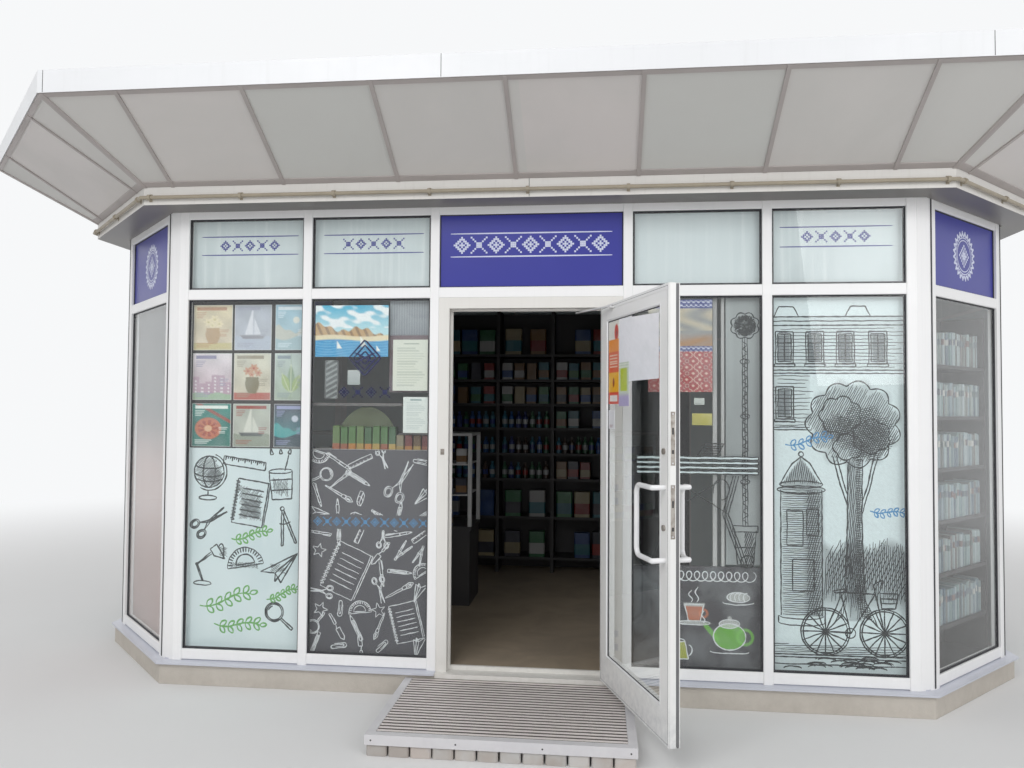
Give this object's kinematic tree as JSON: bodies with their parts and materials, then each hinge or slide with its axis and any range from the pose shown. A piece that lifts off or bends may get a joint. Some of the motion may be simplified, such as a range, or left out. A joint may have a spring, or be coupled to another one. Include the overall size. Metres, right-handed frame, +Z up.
{
  "type": "street kiosk",
  "caption": "Eight-sided aluminium and glass street kiosk with an outward-leaning canopy, an open glazed door, a slatted step and shop fittings inside.",
  "frame": {"origin": "middle of the plan at ground level, under the plinth", "axes": "+X to the right along the front as a visitor faces it, +Y from the front to the back, +Z up"},
  "size_m": [7.6536, 5.0515, 3.487],
  "materials": {
    "plinth_concrete": "matt, stained",
    "profile_white": "satin powder coat",
    "door_frame_cream": "satin powder coat",
    "leaf_white": "satin powder coat",
    "clear_glass": "clear",
    "sign_blue": "satin film",
    "ceiling_white": "matt",
    "eave_cream": "satin",
    "tube_khaki": "satin",
    "canopy_grey": "matt",
    "rib_grey": "satin",
    "fascia_white": "satin powder coat",
    "roof_membrane": "matt membrane",
    "floor_brown": "matt ribbed mat",
    "step_aluminium": "worn satin",
    "step_slats": "dusty, worn",
    "step_paver": "matt",
    "fitting_dark": "matt laminate",
    "fitting_grey": "satin",
    "book_paper": "matt",
    "handle_white": "gloss",
    "lock_metal": "worn",
    "hinge_metal": "satin"
  },
  "bodies": {
    "kiosk": {"plinth": "plinth_concrete", "floor_deck": "floor_brown", "floor_mat": "floor_brown", "sill_long": "profile_white", "sill_corners": "profile_white", "corner_posts": "profile_white", "front_frame_left": "profile_white", "front_frame_right": "profile_white", "over_door_frame": "profile_white", "back_frame": "profile_white", "side_frames": "profile_white", "corner_frames": "profile_white", "front_glass": "clear_glass", "back_glass": "clear_glass", "side_glass": "clear_glass", "corner_glass": "clear_glass", "sign_panels": "sign_blue", "door_frame": "door_frame_cream", "ceiling": "ceiling_white", "eave_long": "eave_cream", "eave_corners": "eave_cream", "eave_tube": "tube_khaki", "canopy_long": "canopy_grey", "canopy_corners": "canopy_grey", "canopy_ribs": "rib_grey", "fascia_long": "fascia_white", "fascia_corners": "fascia_white", "roof_deck": "roof_membrane", "step_frame": "step_aluminium", "step_grate": "step_slats", "step_blocks": "step_paver", "counter_base": "fitting_dark", "counter_case": "fitting_grey", "back_shelving": "fitting_dark", "bookcase": "fitting_dark", "book_rows": "book_paper", "magazine_board": "fitting_dark", "hinge_jamb_leaves": "hinge_metal"},
    "door_leaf": {"leaf_frame": "leaf_white", "leaf_glass": "clear_glass", "leaf_handles": "handle_white", "leaf_locks": "lock_metal", "hinge_leaf_leaves": "hinge_metal"},
    "door_stay": {"stay_arm": "hinge_metal"}
  },
  "joints": [
    {"name": "door_swing", "type": "hinge", "parent": "kiosk", "child": "door_leaf", "pos_m": [0.4825, -1.66732, 1.2], "axis": [0, 0, 1], "range_deg": [-109, 0]},
    {"name": "stay_swing", "type": "hinge", "parent": "door_leaf", "child": "door_stay", "pos_m": [0.47373, -1.88451, 2.274], "axis": [0, 0, 1], "range_deg": [0, 164.5]}
  ],
  "couplings": [
    {"joint": "stay_swing", "follows": "door_swing", "ratio": -1.5089}
  ]
}
